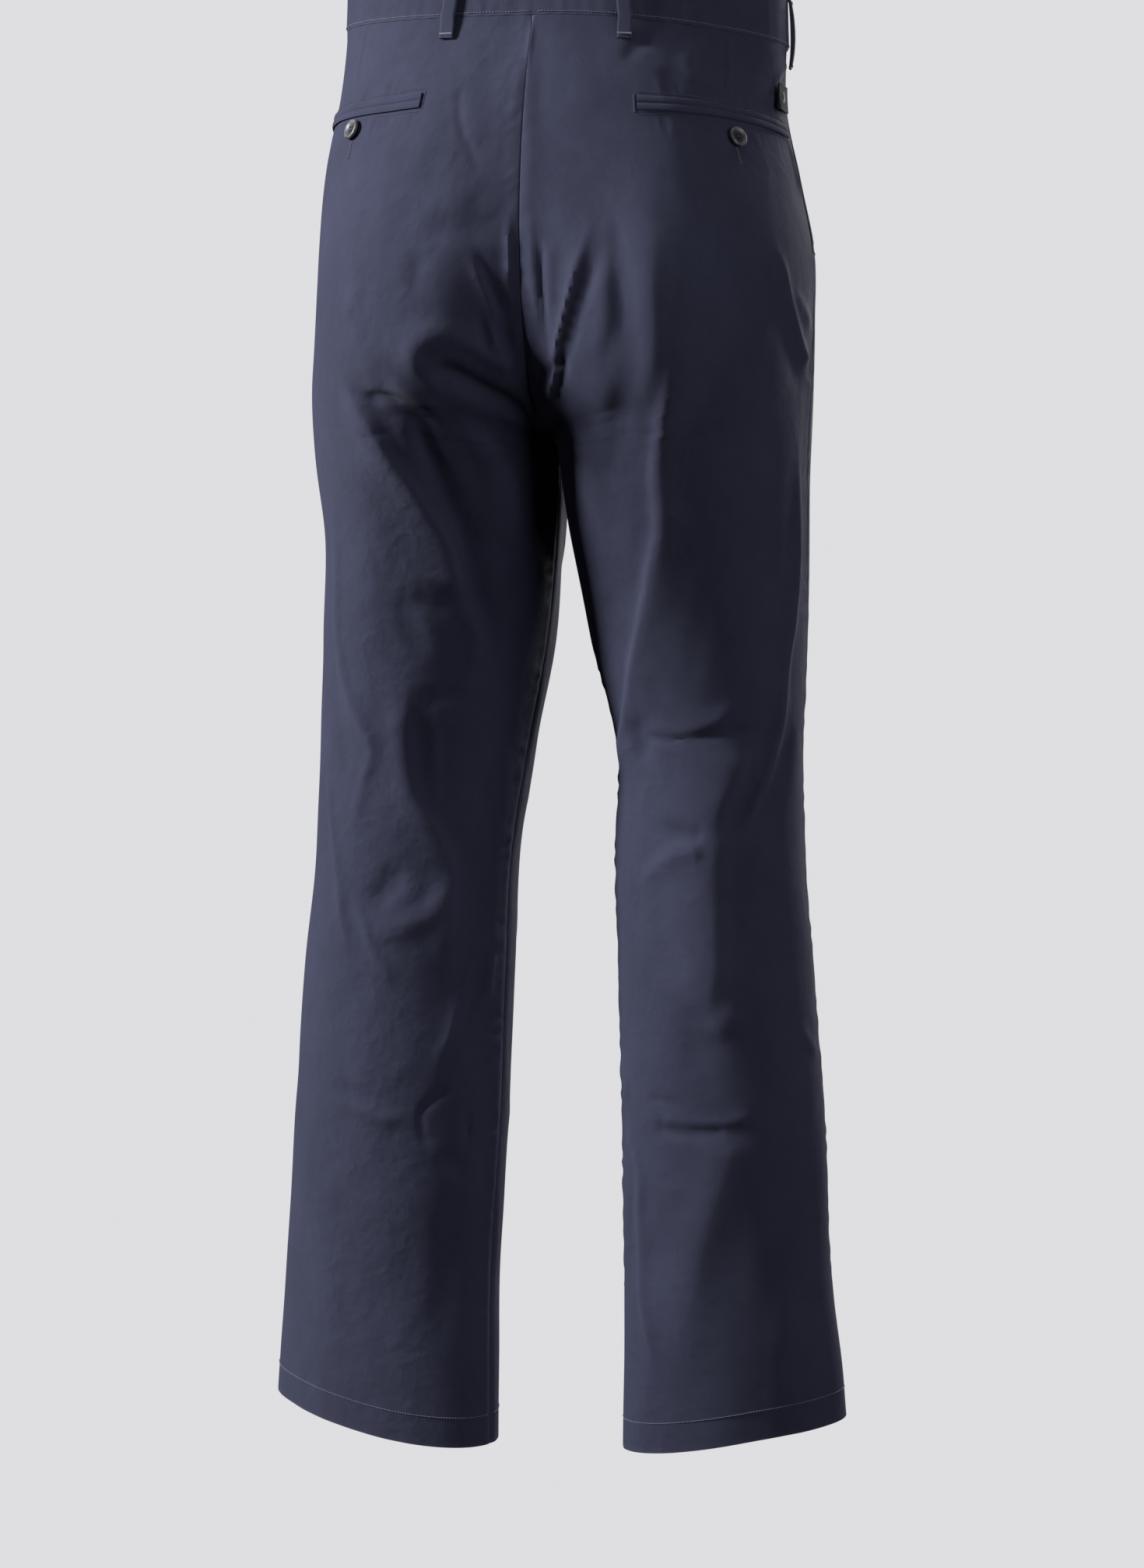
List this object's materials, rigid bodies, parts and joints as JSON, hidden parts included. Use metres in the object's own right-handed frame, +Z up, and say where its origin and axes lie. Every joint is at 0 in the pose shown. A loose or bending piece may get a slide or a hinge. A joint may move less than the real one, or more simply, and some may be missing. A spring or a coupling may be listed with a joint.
{
  "type": "chino trousers",
  "caption": "Full-length cotton twill chino trousers in worn form, open at waist and hems, with slanted front pockets, welted and buttoned back pockets and belt loops.",
  "frame": {"origin": "middle of the waist, level with the waistband seam at the centre back", "axes": "+Z up, the front of the garment faces -Y, the wearer's left is +X"},
  "size_m": [0.4465, 0.2909, 1.0989],
  "materials": {
    "navy_twill": "navy cotton twill, matt with a faint sheen",
    "pocket_facing": "the same navy cotton twill behind the pocket mouth",
    "horn_button": "dark grey horn-look resin, satin",
    "woven_label": "black woven satin label with a pale woven motif"
  },
  "bodies": {
    "root": {"back_panel_left": "navy_twill", "front_panel_left": "navy_twill", "side_facing_left": "pocket_facing", "hem_left": "navy_twill", "back_welt_left": "navy_twill", "back_button_left": "horn_button", "back_panel_right": "navy_twill", "front_panel_right": "navy_twill", "side_facing_right": "pocket_facing", "hem_right": "navy_twill", "back_welt_right": "navy_twill", "back_button_right": "horn_button", "waistband": "navy_twill", "waist_button": "horn_button", "fly_front": "navy_twill", "side_label": "woven_label", "loop_back_left": "navy_twill", "loop_back_right": "navy_twill", "loop_side_left": "navy_twill", "loop_side_right": "navy_twill", "loop_front_left": "navy_twill", "loop_front_right": "navy_twill"}
  },
  "joints": []
}
